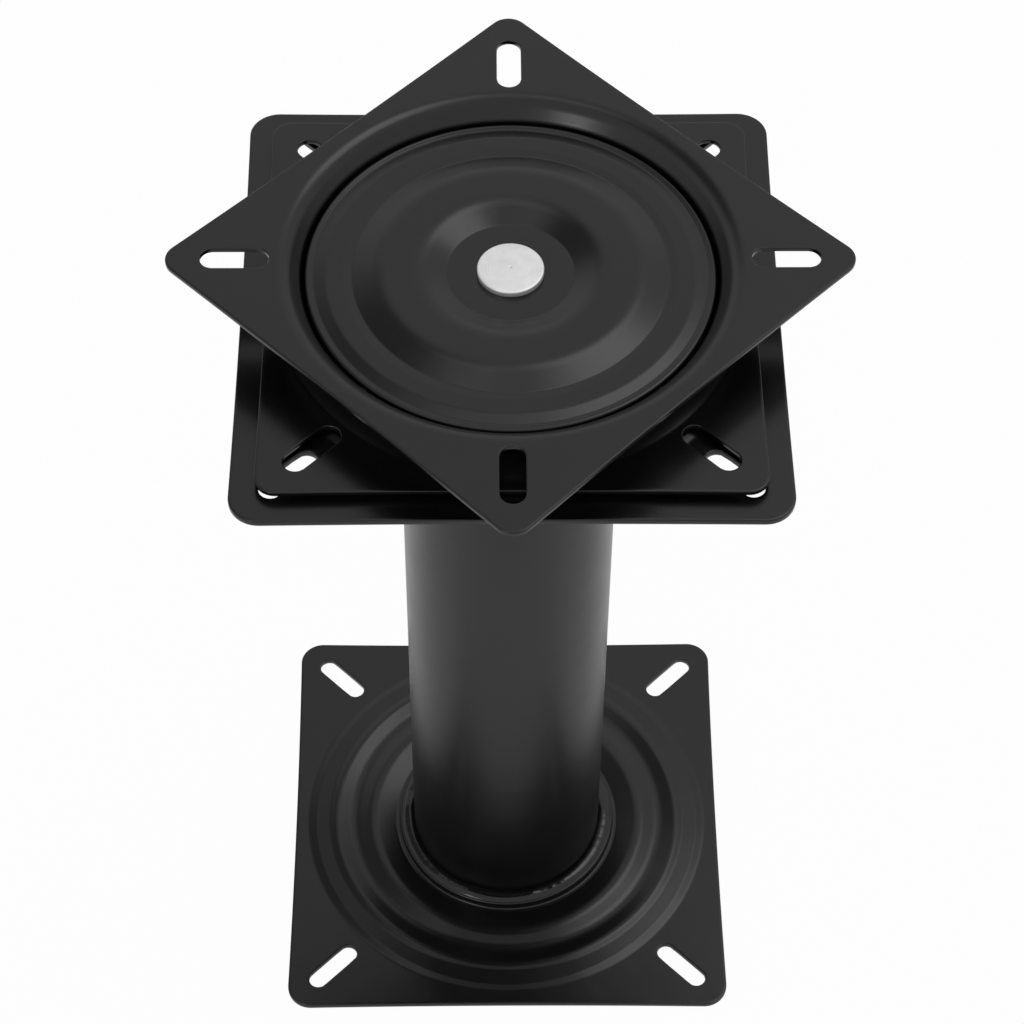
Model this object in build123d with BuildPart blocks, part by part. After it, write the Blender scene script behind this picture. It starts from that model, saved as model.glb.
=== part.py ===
from build123d import *
from math import cos, radians, sin, sqrt, tan
import os

# Swivel seat base: a fixed column between two pressed plates, and a ball-bearing swivel
# that rests on the upper one. Millimetres, +Z up, origin under the middle of the base
# plate, on the surface that the base stands on.

# Pedestal: overall height and the steel of its plates
pedestal_height = 350.0
plate_thickness = 2.5

# Base plate outline and floor slots, whose middles lie one inset in from both sides
base_size = 191.0
base_edge_bow = 0.9
base_corner_radius = 10.0
base_slot_inset = 19.5
base_slot_length = 25.6
base_slot_width = 8.0

# Top plate outline and the slots that a swivel or a seat is bolted through
top_size = 196.0
top_edge_bow = 0.7
top_corner_radius = 11.0
top_slot_inset = 20.65
top_slot_length = 25.2
top_slot_width = 8.6

# Column tube and the seam welds that hold it in the collars
tube_diameter = 82.6
tube_wall = 2.0
tube_end_inset = 1.0
weld_width = 4.0
weld_rise = 3.0
weld_crown = 0.8

# Pressed rings of the pedestal plates: each radius is counted out from the collar's wall,
# and each rise is counted from the face of the flat rim
collar_rise = 4.2
collar_edge_round = 0.7
collar_foot_offset = 1.8
collar_foot_rise = 0.4
inner_crest_offset = 11.6
inner_crest_rise = 3.6
valley_offset = 20.6
valley_rise = 1.0
outer_crest_offset = 28.6
outer_crest_rise = 3.6
step_offset = 31.0
step_rise = 2.1
shoulder_offset = 37.4
shoulder_rise = 1.6
rim_offset = 40.4
collar_bend = 0.8
crest_bend = 4.0
ridge_bend = 2.6
shoulder_bend = 3.0

# Swivel: two square plates of one pressing size, turned against each other
swivel_size = 178.0
swivel_height = 26.0
swivel_sheet = 2.0
swivel_edge_bow = 0.85
swivel_corner_radius = 7.5
swivel_slot_inset = 19.7
swivel_slot_length = 24.5
swivel_slot_width = 9.0
swivel_rest_turn = 45.0

# Two rows of steel balls, one over and one under the lip of the upper plate: the upper row
# runs inside the flange, and the lower row runs one step further in
balls_per_row = 12
ball_diameter = 4.76
ball_clearance = 0.1
upper_row_inset = 17.5
lower_row_step = 7.5
lower_race_floor = 4.5
race_wall_slope = 60.0
race_wall_height = 3.5
race_crest_width = 2.6
race_crest_bend = 2.15
race_foot_bend = 3.0
lip_end_length = 3.2
well_bend = 11.5

# Share of a straight run that the bends at its two ends may take together
run_share = 0.98

# Ball cages: flat rings with a round pocket for each ball
cage_thickness = 1.4
cage_width = 7.6
pocket_clearance = 0.2
lower_cage_drop = 0.7
cage_race_gap = 1.0

# Retaining disc, a dished pressing with a rolled rim
disc_rim_overhang = 1.5
disc_bead_radius = 1.15
disc_rim_width = 2.6
disc_flare = 0.6
disc_flare_run = 4.0
disc_ring_width = 18.0
disc_dish_slope_width = 11.0
disc_dish_inner_radius = 29.5
disc_dish_depth = 3.3
disc_boss_radius = 22.8
disc_boss_drop = 0.5
disc_bend = 3.0
disc_floor_bend = 6.0

# Centre cone of the lower plate and the rivet that clamps the disc on it
cone_foot_radius = 38.0
cone_top_radius = 18.0
cone_foot_bend = 5.0
cone_top_bend = 3.0
rivet_head_radius = 12.0
rivet_head_height = 2.6
rivet_edge_round = 0.5
rivet_shank_radius = 5.0
rivet_tail_radius = 8.5
rivet_tail_height = 3.0
rivet_tail_round = 1.2

# Derived places that more than one piece shares
tube_radius = tube_diameter / 2
collar_inner_radius = tube_radius + weld_width
collar_radius = collar_inner_radius + plate_thickness
ball_radius = ball_diameter / 2
groove_radius = ball_radius + ball_clearance
upper_race_radius = swivel_size / 2 - upper_row_inset
lower_race_radius = upper_race_radius - lower_row_step
lower_ball_height = pedestal_height + lower_race_floor + groove_radius
lip_height = lower_ball_height + groove_radius + swivel_sheet
upper_ball_height = lip_height + groove_radius
disc_rim_height = upper_ball_height + groove_radius + swivel_sheet
disc_rim_radius = upper_race_radius + disc_rim_overhang
disc_ring_height = disc_rim_height - disc_flare
disc_boss_height = disc_ring_height - disc_boss_drop
cone_height = disc_boss_height - swivel_sheet
well_radius = upper_race_radius + groove_radius
swivel_top = pedestal_height + swivel_height
flange_height = pedestal_height + swivel_sheet

os.makedirs("parts", exist_ok=True)


def plate_outline(size, edge_bow, corner_radius):
    """A square with rounded corners, whose sides bow in a little at their middles."""
    half = size / 2
    corners = [(half, half), (-half, half), (-half, -half), (half, -half)]
    bowed = half - edge_bow
    middles = [(0, bowed), (-bowed, 0), (0, -bowed), (bowed, 0)]
    with BuildSketch() as outline:
        with BuildLine():
            for index, middle in enumerate(middles):
                ThreePointArc(corners[index], middle, corners[(index + 1) % 4])
        make_face()
        fillet(outline.vertices(), corner_radius)
    return outline.sketch


def corner_slots(size, inset, length, width):
    """Four slots towards the corners of a plate, their middles one inset in from its sides."""
    with BuildSketch() as slots:
        with PolarLocations((size / 2 - inset) * sqrt(2), 4, start_angle=45):
            SlotOverall(length, width)
    return slots.sketch


def fitted_bends(line, bends):
    """The bends of a line, each eased where the runs beside it are too short for their bends."""
    points = [Vector(*point) for point in line]
    runs = [end - start for start, end in zip(points, points[1:])]
    turns = [before.get_angle(after) for before, after in zip(runs, runs[1:])]
    taken = [0] + [bend * tan(radians(turn / 2)) for bend, turn in zip(bends, turns)] + [0]
    needs = [start + end for start, end in zip(taken, taken[1:])]
    room = [min(1, run_share * run.length / need) for run, need in zip(runs, needs)]
    return [bend * min(before, after) for bend, before, after in zip(bends, room, room[1:])]


def sheet_section(face_line, bends, thickness):
    """Half the section of a round pressing: its upper face, from rim to centre, and the sheet below."""
    with BuildSketch(Plane.XZ) as section:
        with BuildLine():
            FilletPolyline(*face_line, radius=fitted_bends(face_line, bends))
            offset(amount=thickness, side=Side.LEFT)
        make_face()
    return section.sketch


def ring_section(reach):
    """Half the section of a pedestal plate that lies on the ground, out to a reach past its corners."""
    rings = [
        (rim_offset, 0),
        (shoulder_offset, shoulder_rise),
        (step_offset, step_rise),
        (outer_crest_offset, outer_crest_rise),
        (valley_offset, valley_rise),
        (inner_crest_offset, inner_crest_rise),
        (collar_foot_offset, collar_foot_rise),
        (0, collar_foot_rise),
        (0, collar_rise),
    ]
    bends = [
        shoulder_bend,
        shoulder_bend,
        ridge_bend,
        ridge_bend,
        crest_bend,
        crest_bend,
        collar_bend,
        collar_bend,
    ]
    line = [(reach, plate_thickness)]
    line += [(collar_radius + offset_out, plate_thickness + rise) for offset_out, rise in rings]
    return sheet_section(line, bends, plate_thickness)


def weld_section():
    """Half the section of the foot's seam weld, which fills the groove between column and collar."""
    weld_face = plate_thickness + weld_rise
    with BuildSketch(Plane.XZ) as section:
        with BuildLine():
            Polyline(
                (collar_inner_radius, weld_face),
                (collar_inner_radius, plate_thickness),
                (tube_radius, plate_thickness),
                (tube_radius, weld_face),
            )
            ThreePointArc(
                (tube_radius, weld_face),
                (tube_radius + weld_width / 2, weld_face + weld_crown),
                (collar_inner_radius, weld_face),
            )
        make_face()
    return section.sketch


# The head of the pedestal is its foot turned over, about the middle of the column
pedestal_middle = Plane.XY.offset(pedestal_height / 2)

# Base plate: the rings rise from the rim, and the collar stands up round the column
base_outline = plate_outline(base_size, base_edge_bow, base_corner_radius)
base_slots = corner_slots(base_size, base_slot_inset, base_slot_length, base_slot_width)
with BuildPart() as base_plate:
    revolve(ring_section(base_size), axis=Axis.Z)
    extrude(base_outline, amount=pedestal_height, mode=Mode.INTERSECT)
    extrude(base_slots, amount=pedestal_height, mode=Mode.SUBTRACT)
    fillet(base_plate.edges().group_by(Axis.Z)[-1], collar_edge_round)
base_plate.part.label = "base_plate"
export_step(base_plate.part, "parts/base_plate.step")

# Top plate: the same rings pressed the other way, so the collar hangs down round the column
top_outline = plate_outline(top_size, top_edge_bow, top_corner_radius)
top_slots = corner_slots(top_size, top_slot_inset, top_slot_length, top_slot_width)
with BuildPart() as top_plate:
    revolve(ring_section(top_size).mirror(pedestal_middle), axis=Axis.Z)
    extrude(top_outline, amount=pedestal_height, mode=Mode.INTERSECT)
    extrude(top_slots, amount=pedestal_height, mode=Mode.SUBTRACT)
    fillet(top_plate.edges().group_by(Axis.Z)[0], collar_edge_round)
top_plate.part.label = "top_plate"
export_step(top_plate.part, "parts/top_plate.step")

# Column: a plain tube whose ends stop just inside the outer faces of the plates
with BuildPart() as column_tube:
    with BuildSketch(Plane.XY.offset(tube_end_inset)):
        Circle(tube_radius)
        Circle(tube_radius - tube_wall, mode=Mode.SUBTRACT)
    extrude(amount=pedestal_height - 2 * tube_end_inset)
column_tube.part.label = "column_tube"
export_step(column_tube.part, "parts/column_tube.step")

# Seam welds at the foot and at the head of the column
with BuildPart() as base_weld:
    revolve(weld_section(), axis=Axis.Z)
base_weld.part.label = "base_weld"
export_step(base_weld.part, "parts/base_weld.step")

with BuildPart() as top_weld:
    revolve(weld_section().mirror(pedestal_middle), axis=Axis.Z)
top_weld.part.label = "top_weld"
export_step(top_weld.part, "parts/top_weld.step")

# Lower swivel plate: a flat flange, a ring race whose outer wall holds the balls, and a centre cone
race_fall = radians(race_wall_slope)
race_floor = pedestal_height + lower_race_floor
race_crest = race_floor + race_wall_height
groove_corner = lower_race_radius + groove_radius * tan(race_fall / 2)
crest_inner = groove_corner + race_wall_height / tan(race_fall)
crest_outer = crest_inner + race_crest_width
race_foot = crest_outer + (race_crest - flange_height) / tan(race_fall)
lower_line = [
    (swivel_size, flange_height),
    (race_foot, flange_height),
    (crest_outer, race_crest),
    (crest_inner, race_crest),
    (groove_corner, race_floor),
    (cone_foot_radius, race_floor),
    (cone_top_radius, cone_height),
    (rivet_shank_radius, cone_height),
]
lower_bends = [
    race_foot_bend,
    race_crest_bend,
    race_crest_bend,
    groove_radius,
    cone_foot_bend,
    cone_top_bend,
]
swivel_outline = plate_outline(swivel_size, swivel_edge_bow, swivel_corner_radius)
swivel_slots = corner_slots(swivel_size, swivel_slot_inset, swivel_slot_length, swivel_slot_width)
with BuildPart() as swivel_lower_plate:
    revolve(sheet_section(lower_line, lower_bends, swivel_sheet), axis=Axis.Z)
    extrude(swivel_outline, amount=swivel_top, mode=Mode.INTERSECT)
    extrude(swivel_slots, amount=swivel_top, mode=Mode.SUBTRACT)
swivel_lower_plate.part.label = "swivel_lower_plate"
export_step(swivel_lower_plate.part, "parts/swivel_lower_plate.step")

# Upper swivel plate: the well is drawn down from the flange, and its lip turns in between
# the two rows of balls and ends in a hook inside the lower row
hook_corner = lower_race_radius - (groove_radius + swivel_sheet) * tan(race_fall / 2)
hook_end = (hook_corner - lip_end_length * cos(race_fall), lip_height - lip_end_length * sin(race_fall))
upper_line = [
    (swivel_size, swivel_top),
    (well_radius, swivel_top),
    (well_radius, lip_height),
    (hook_corner, lip_height),
    hook_end,
]
upper_bends = [well_bend, groove_radius, groove_radius + swivel_sheet]
upper_turn = Rot(0, 0, swivel_rest_turn)
with BuildPart() as swivel_upper_plate:
    revolve(sheet_section(upper_line, upper_bends, swivel_sheet), axis=Axis.Z)
    extrude(upper_turn * swivel_outline, amount=swivel_top, mode=Mode.INTERSECT)
    extrude(upper_turn * swivel_slots, amount=swivel_top, mode=Mode.SUBTRACT)
swivel_upper_plate.part.label = "swivel_upper_plate"
export_step(swivel_upper_plate.part, "parts/swivel_upper_plate.step")

# Retaining disc: a dished pressing that bears on the upper row and ends in a rolled rim
bead_radius = disc_rim_radius - disc_bead_radius
flare_top_radius = disc_rim_radius - disc_rim_width
disc_floor_height = disc_ring_height - disc_dish_depth
disc_dish_rim_radius = disc_rim_radius - disc_ring_width
disc_dish_floor_radius = disc_dish_rim_radius - disc_dish_slope_width
disc_line = [
    (bead_radius, disc_rim_height),
    (flare_top_radius, disc_rim_height),
    (flare_top_radius - disc_flare_run, disc_ring_height),
    (disc_dish_rim_radius, disc_ring_height),
    (disc_dish_floor_radius, disc_floor_height),
    (disc_dish_inner_radius, disc_floor_height),
    (disc_boss_radius, disc_boss_height),
    (rivet_shank_radius, disc_boss_height),
]
disc_bends = [disc_bend, disc_bend, disc_bend, disc_floor_bend, disc_floor_bend, disc_bend]
with BuildPart() as retaining_disc:
    revolve(sheet_section(disc_line, disc_bends, swivel_sheet), axis=Axis.Z)
    with BuildSketch(Plane.XZ):
        with Locations((bead_radius, disc_rim_height - swivel_sheet + disc_bead_radius)):
            Circle(disc_bead_radius)
    revolve(axis=Axis.Z)
retaining_disc.part.label = "retaining_disc"
export_step(retaining_disc.part, "parts/retaining_disc.step")

# Centre rivet: a flat head on the disc, a shank through both pressings and an upset tail
rivet_seat = cone_height - swivel_sheet
with BuildPart() as centre_rivet:
    with BuildSketch(Plane.XY.offset(rivet_seat - rivet_tail_height)):
        Circle(rivet_tail_radius)
    extrude(amount=rivet_tail_height)
    fillet(centre_rivet.edges().sort_by(Axis.Z)[0], rivet_tail_round)
    with BuildSketch(Plane.XY.offset(rivet_seat)):
        Circle(rivet_shank_radius)
    extrude(amount=disc_boss_height - rivet_seat)
    with BuildSketch(Plane.XY.offset(disc_boss_height)):
        Circle(rivet_head_radius)
    extrude(amount=rivet_head_height)
    fillet(centre_rivet.edges().sort_by(Axis.Z)[-1], rivet_edge_round)
centre_rivet.part.label = "centre_rivet"
export_step(centre_rivet.part, "parts/centre_rivet.step")


def cage_sketch(race_radius, first_angle):
    """A flat ring just inside its race, with a pocket for each ball that breaks through the outer edge."""
    outer = race_radius + groove_radius - cage_race_gap
    with BuildSketch() as ring:
        Circle(outer)
        Circle(outer - cage_width, mode=Mode.SUBTRACT)
        with PolarLocations(race_radius, balls_per_row, start_angle=first_angle):
            Circle(ball_radius + pocket_clearance, mode=Mode.SUBTRACT)
    return ring.sketch


# Ball cages: the lower one hangs below its ball centres, clear of the hooked lip
lower_first_angle = 0
upper_first_angle = 180 / balls_per_row
with BuildPart(Plane.XY.offset(lower_ball_height - lower_cage_drop)) as lower_ball_cage:
    add(cage_sketch(lower_race_radius, lower_first_angle))
    extrude(amount=cage_thickness / 2, both=True)
lower_ball_cage.part.label = "lower_ball_cage"
export_step(lower_ball_cage.part, "parts/lower_ball_cage.step")

with BuildPart(Plane.XY.offset(upper_ball_height)) as upper_ball_cage:
    add(cage_sketch(upper_race_radius, upper_first_angle))
    extrude(amount=cage_thickness / 2, both=True)
upper_ball_cage.part.label = "upper_ball_cage"
export_step(upper_ball_cage.part, "parts/upper_ball_cage.step")

# Balls: each is a loose piece in its pocket
ball_rows = [
    ("lower_ball", lower_race_radius, lower_ball_height, lower_first_angle),
    ("upper_ball", upper_race_radius, upper_ball_height, upper_first_angle),
]
for row_name, race_radius, ball_height, first_angle in ball_rows:
    for number in range(balls_per_row):
        with BuildPart(Plane.XY.offset(ball_height)) as ball:
            with PolarLocations(race_radius, 1, start_angle=first_angle + number * 360 / balls_per_row):
                Sphere(ball_radius)
        ball.part.label = f"{row_name}_{number + 1:02d}"
        export_step(ball.part, f"parts/{ball.part.label}.step")
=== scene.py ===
from math import cos, pi, radians, sin, sqrt, tan

import bmesh
import bpy
import numpy as np
from bpy.props import FloatProperty, FloatVectorProperty, IntProperty, PointerProperty
from mathutils import Matrix, Vector


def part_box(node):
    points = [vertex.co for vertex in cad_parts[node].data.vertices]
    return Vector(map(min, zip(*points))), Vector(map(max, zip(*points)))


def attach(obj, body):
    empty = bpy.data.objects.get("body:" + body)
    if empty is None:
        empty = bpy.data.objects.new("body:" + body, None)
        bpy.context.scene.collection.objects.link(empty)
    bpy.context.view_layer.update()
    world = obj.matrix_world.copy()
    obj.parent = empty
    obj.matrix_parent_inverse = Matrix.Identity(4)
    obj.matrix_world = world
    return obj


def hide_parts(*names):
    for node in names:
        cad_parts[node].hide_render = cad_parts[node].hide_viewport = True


bl_info = {
    "name": "Swivel Seat Base",
    "version": (1, 0, 0),
    "blender": (4, 5, 0),
    "location": "3D View > Sidebar > Seat Base",
    "description": "Pressed plates, column, welds and swivel of a seat base, on its CAD frame",
    "category": "Object",
}

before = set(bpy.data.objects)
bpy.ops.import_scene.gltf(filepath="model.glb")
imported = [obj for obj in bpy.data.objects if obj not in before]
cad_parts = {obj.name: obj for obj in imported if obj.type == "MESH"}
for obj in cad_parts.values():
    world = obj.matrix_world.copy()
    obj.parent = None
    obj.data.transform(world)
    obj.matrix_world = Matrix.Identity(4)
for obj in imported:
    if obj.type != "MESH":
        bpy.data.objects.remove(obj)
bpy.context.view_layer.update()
MM = 0.001

# Places read from the frame, in metres
tube_low, tube_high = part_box("column_tube")
tube_radius = tube_high.x
pedestal_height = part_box("top_plate")[1].z
swivel_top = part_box("swivel_upper_plate")[1].z
rivet_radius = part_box("centre_rivet")[1].x
upper_ball_low, upper_ball_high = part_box("upper_ball_01")
ball_radius = (upper_ball_high.z - upper_ball_low.z) / 2
upper_ball_height = (upper_ball_high.z + upper_ball_low.z) / 2


def length(label, text, millimetres):
    """A property for a length, written in millimetres and kept in metres."""
    return FloatProperty(
        name=label, description=text, default=millimetres * MM, unit="LENGTH", precision=5
    )


def angle(label, text, degrees):
    """A property for an angle, written in degrees and kept in radians."""
    return FloatProperty(name=label, description=text, default=radians(degrees), subtype="ANGLE")


def share(label, text, value):
    """A property for a number between nought and one."""
    return FloatProperty(
        name=label, description=text, default=value, min=0.0, max=1.0, subtype="FACTOR"
    )


def colour(label, text, value):
    """A property for a linear colour."""
    return FloatVectorProperty(
        name=label, description=text, default=value, size=3, min=0.0, max=1.0, subtype="COLOR"
    )


class SquarePlateSettings(bpy.types.PropertyGroup):
    """Outline and slots of one square plate, at first the swivel's."""

    size: length("Size", "Length of a side between its corners", 178.0)
    bow: length("Side bow", "How far the middle of a side bows in", 0.85)
    corner: length("Corner radius", "Radius of the plate's corners", 7.5)
    slot_inset: length("Slot inset", "From the sides in to the middle of each slot", 19.7)
    slot_length: length("Slot length", "Overall length of a slot", 24.5)
    slot_width: length("Slot width", "Width of a slot", 9.0)


# The pedestal's plates, in millimetres
base_sizes = {
    "size": 191.0,
    "bow": 0.9,
    "corner": 10.0,
    "slot_inset": 19.5,
    "slot_length": 25.6,
    "slot_width": 8.0,
}
head_sizes = {
    "size": 196.0,
    "bow": 0.7,
    "corner": 11.0,
    "slot_inset": 20.65,
    "slot_length": 25.2,
    "slot_width": 8.6,
}


class PedestalSettings(bpy.types.PropertyGroup):
    """The two pressed plates of the pedestal, its column and welds."""

    base: PointerProperty(type=SquarePlateSettings)
    head: PointerProperty(type=SquarePlateSettings)
    sheet: length("Sheet", "Thickness of the pressed plates", 2.5)
    tube_wall: length("Tube wall", "Wall of the column tube", 2.0)
    edge_round: length("Edge round", "Rounding that paint gives the sheared edges", 0.4)
    collar_round: length("Collar round", "Rounding of the collar's lip", 0.7)
    weld_width: length("Weld width", "Groove between the column and the collar", 4.0)
    weld_lap: length("Weld lap", "How far the bead laps over the collar's lip", 1.7)
    weld_rise: length("Weld rise", "Height of the bead's edge on the column over the plate", 5.2)
    weld_climb: length("Weld climb", "How far the bead falls from the column to the collar", 1.1)
    weld_crown: length("Weld crown", "Height of the bead over its edges", 0.9)
    weld_ripples: IntProperty(
        name="Weld ripples", description="Ripples round each seam", default=120, min=0
    )


class SwivelSettings(bpy.types.PropertyGroup):
    """The two square plates of the swivel, and the disc and rivet that hold them together."""

    plate: PointerProperty(type=SquarePlateSettings)
    sheet: length("Sheet", "Thickness of the swivel's pressings", 2.0)
    edge_round: length("Edge round", "Rounding of the sheared edges", 0.35)
    rest_turn: angle("Rest turn", "Turn of the upper plate at rest", 45)
    ball_clearance: length("Ball clearance", "Gap between a ball and its grooves", 0.1)
    well_bend: length("Well bend", "Bend from the flange down into the well", 8.0)


class PaintSettings(bpy.types.PropertyGroup):
    """Colours and gloss of the finishes."""

    black: colour("Black", "Colour of the enamel", (0.0030, 0.0029, 0.0028))
    gloss_roughness: share("Paint roughness", "Roughness of the enamel", 0.25)
    peel: share("Orange peel", "Strength of the enamel's fine texture", 0.5)
    zinc: colour("Zinc", "Colour of the rivet", (0.93, 0.93, 0.93))
    steel: colour("Ball steel", "Colour of the balls", (0.16, 0.155, 0.15))
    nylon: colour("Nylon", "Colour of the ball cages", (0.012, 0.012, 0.013))


class StudioSettings(bpy.types.PropertyGroup):
    """Camera, floor and lamps."""

    azimuth: angle("Azimuth", "Camera azimuth", -0.87)
    elevation: angle("Elevation", "Camera elevation", 52.39)
    roll: angle("Roll", "Camera roll", 0.55)
    distance: length("Distance", "From the camera to its target", 1195.15)
    target_height: length("Target height", "Height of the camera's target", 228.21)
    target_side: length("Target side", "How far right of the column the camera aims", 1.31)
    lens: FloatProperty(name="Lens", description="Focal length in millimetres", default=106.88)
    ambient: share("Ambient", "Brightness of the surroundings on matt faces", 0.6)
    gloss_sky: share("Sky in the gloss", "Brightness of the high surroundings in the gloss", 0.73)
    low_share: share("Horizon in the gloss", "Share of it that the low surroundings keep", 0.45)
    horizon_low: share("Horizon low", "Sine of the height where the sky starts to pale", 0.0)
    horizon_high: share("Horizon high", "Sine of the height where it is pale", 0.35)
    floor_white: share("Floor white", "Share of pure white that the camera sees in the floor", 0.97)
    # The near floor's low share of white in the gloss is painted shade
    near_floor_shade_white: share("Floor in the gloss", "Share of white of the near floor in the gloss", 0.35)


class SeatBaseSettings(bpy.types.PropertyGroup):
    """Everything that can be set on the seat base."""

    pedestal: PointerProperty(type=PedestalSettings)
    swivel: PointerProperty(type=SwivelSettings)
    paint: PointerProperty(type=PaintSettings)
    studio: PointerProperty(type=StudioSettings)


# Pressed rings of the pedestal's plates, in millimetres: distance out from the collar's
# wall, rise over the flat rim and bend there, from the rim inwards to the collar's foot
pedestal_rings = [
    (41.1, 0.0, 6.0),
    (37.9, 0.85, 3.0),
    (31.6, 1.35, 4.0),
    (28.4, 2.3, 5.0),
    (20.6, 0.1, 9.0),
    (13.3, 2.5, 9.0),
    (10.3, 2.5, 9.0),
    (1.8, 0.3, 0.8),
]
inner_crest_rise = 2.5
collar_foot_rise = 0.3
collar_rise = 4.2

# Flat run of that section before its first bend, and the bends of the two collars
rim_lead = 12.0
collar_bend = 0.8
hanging_collar_bend = 3.0

# Rounded lines: the step of an arc, the gap between a bend's end and the next point of the
# run, and the share of a run that its two bends may take
arc_step = radians(6.0)
support_gap = 0.25 * MM
run_share = 0.96


def unit(vectors):
    """Vectors scaled to length one."""
    return vectors / np.maximum(np.linalg.norm(vectors, axis=-1, keepdims=True), 1e-12)


def quarter(steps=5):
    """Angles of a quarter circle."""
    return np.linspace(0.0, pi / 2, steps)


def eased(corners, bends):
    """The bends of a broken line, each cut to the room that the runs beside it leave.

    A bend b at a turn t takes b * tan(t / 2) of both runs, and the two bends of a run share it.
    """
    runs = np.diff(corners, axis=0)
    lengths = np.linalg.norm(runs, axis=1)
    cosines = np.sum(runs[1:] * runs[:-1], axis=1) / (lengths[1:] * lengths[:-1])
    taken = np.concatenate([[0], bends * np.tan(np.arccos(np.clip(cosines, -1, 1)) / 2), [0]])
    room = np.minimum(1, run_share * (lengths - 2 * support_gap) / (taken[1:] + taken[:-1]))
    return bends * np.minimum(room[:-1], room[1:])


def rounded_line(corners, bends):
    """Points along a broken line with round corners, and the normals on its left.

    A corner of bend b and turn t starts its arc b * tan(t / 2) before the corner. On the arc
    a point is the centre plus b times the turned start radius; on a run, points stand close
    to both ends so that the faces between them shade flat.
    """
    corners = np.array(corners, float)
    bends = eased(corners, np.array(bends, float))
    runs = unit(np.diff(corners, axis=0))
    left = np.stack([-runs[:, 1], runs[:, 0]], axis=1)
    points, normals = [corners[:1]], [left[:1]]
    for index, bend in enumerate(bends, start=1):
        before, after = runs[index - 1], runs[index]
        turn = np.arctan2(before[0] * after[1] - before[1] * after[0], before @ after)
        reach = bend * np.tan(abs(turn) / 2)
        side = left[index - 1] * np.sign(turn)
        centre = corners[index] - before * reach + side * bend
        angles = np.linspace(0.0, turn, max(3, int(np.ceil(abs(turn) / arc_step)) + 1))
        swing = np.stack([np.cos(angles), np.sin(angles)], axis=1)
        turned = np.stack(
            [
                swing[:, 0] * left[index - 1][0] - swing[:, 1] * left[index - 1][1],
                swing[:, 1] * left[index - 1][0] + swing[:, 0] * left[index - 1][1],
            ],
            axis=1,
        )
        arc = centre - turned * bend * np.sign(turn)
        points += [arc[:1] - before * support_gap, arc, arc[-1:] + after * support_gap]
        normals += [turned[:1], turned, turned[-1:]]
    points.append(corners[-1:])
    normals.append(left[-1:])
    return np.concatenate(points), np.concatenate(normals)


def sheet_rows(face_line, bends, sheet, end_round):
    """Section of a pressing: along its face, round its inner end and back along its underside.

    The underside is the face moved by the sheet along the left normals, and each edge of the
    end is a quarter circle.
    """
    face, left = rounded_line(face_line, bends)
    travel = unit(face[-1] - face[-2])
    normal = left[-1]
    angles = quarter()[:, None]
    back = face[-1] - travel * end_round * (1 - np.sin(angles))
    over = back + normal * end_round * (1 - np.cos(angles))
    mirrored = back + normal * (sheet - end_round * (1 - np.cos(angles)))
    under = face[:-1] + left[:-1] * sheet
    return np.concatenate([face[:-1], over, mirrored[::-1], under[::-1]])


def square_outline(angles, plate):
    """Points and outward normals of a square with bowed sides and round corners, on rays.

    On a side, x = half - bow * (1 - (y / half)^2) is met by the ray y = x * tan(angle), found
    by six rounds of putting x back in. On a corner the ray meets the circle round (c, c).
    """
    half = plate.size / 2
    quarter_turns = np.round(angles / (pi / 2)) * (pi / 2)
    off = angles - quarter_turns
    slope = np.tan(off)
    side_x = np.full_like(off, half)
    centre = half - plate.corner
    for _ in range(6):
        side_x = half - plate.bow * (1 - (side_x * slope / half) ** 2)
        centre = half - plate.bow * (1 - (centre / half) ** 2) - plate.corner
    side = np.stack([side_x, side_x * slope], axis=1)
    side_normal = unit(np.stack([np.ones_like(off), -2 * plate.bow * side[:, 1] / half**2], axis=1))
    across = np.cos(off) - np.sin(np.abs(off))
    reach = centre * (np.cos(off) + np.sin(np.abs(off)))
    reach = reach + np.sqrt(np.maximum(plate.corner**2 - (centre * across) ** 2, 0))
    corner = np.stack([np.cos(off), np.sin(off)], axis=1) * reach[:, None]
    corner_normal = unit(corner - centre * np.stack([np.ones_like(off), np.sign(off)], axis=1))
    on_corner = (np.abs(slope) > centre / (centre + plate.corner))[:, None]
    point = np.where(on_corner, corner, side)
    normal = np.where(on_corner, corner_normal, side_normal)
    turn = np.stack([np.cos(quarter_turns), np.sin(quarter_turns)], axis=1)
    return turned(point, turn), turned(normal, turn)


def turned(points, turn):
    """Plane points turned by the angles whose cosine and sine are given."""
    x = points[:, 0] * turn[:, 0] - points[:, 1] * turn[:, 1]
    y = points[:, 0] * turn[:, 1] + points[:, 1] * turn[:, 0]
    return np.stack([x, y], axis=1)


# Grid of a square plate: fine columns near a corner and coarse ones along a side, the rim's
# steps from the last ring to the margin, and the slots' steps from the rim to the wall
corner_share = radians(7.0)
corner_columns = 32
side_columns = 52
margin = 1.2 * MM
flat_steps = np.array([0.012, 0.07, 0.2, 0.4, 0.6, 0.8, 0.93, 1.0])
slot_steps = np.array([0.35, 0.7, 0.93])
edge_steps = 4


def plate_columns():
    """Angles of a square plate's columns, round all four corners."""
    start = radians(45) - corner_share
    fine = np.linspace(start, start + 2 * corner_share, corner_columns, endpoint=False)
    coarse = np.linspace(start + 2 * corner_share, start + pi / 2, side_columns, endpoint=False)
    one = np.concatenate([fine, coarse])
    return np.concatenate([one + pi / 2 * corner for corner in range(4)])


def edge_profile(top, bottom, edge_round):
    """Insets and heights down a sheared edge, whose two corners are quarter circles."""
    down = np.sign(bottom - top)
    bend = quarter(edge_steps)
    inset = edge_round * (1 - np.sin(bend))
    depth = edge_round * (1 - np.cos(bend))
    heights = np.concatenate([top + down * depth, (bottom - down * depth)[::-1]])
    return np.concatenate([inset, inset[::-1]]), heights


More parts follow.
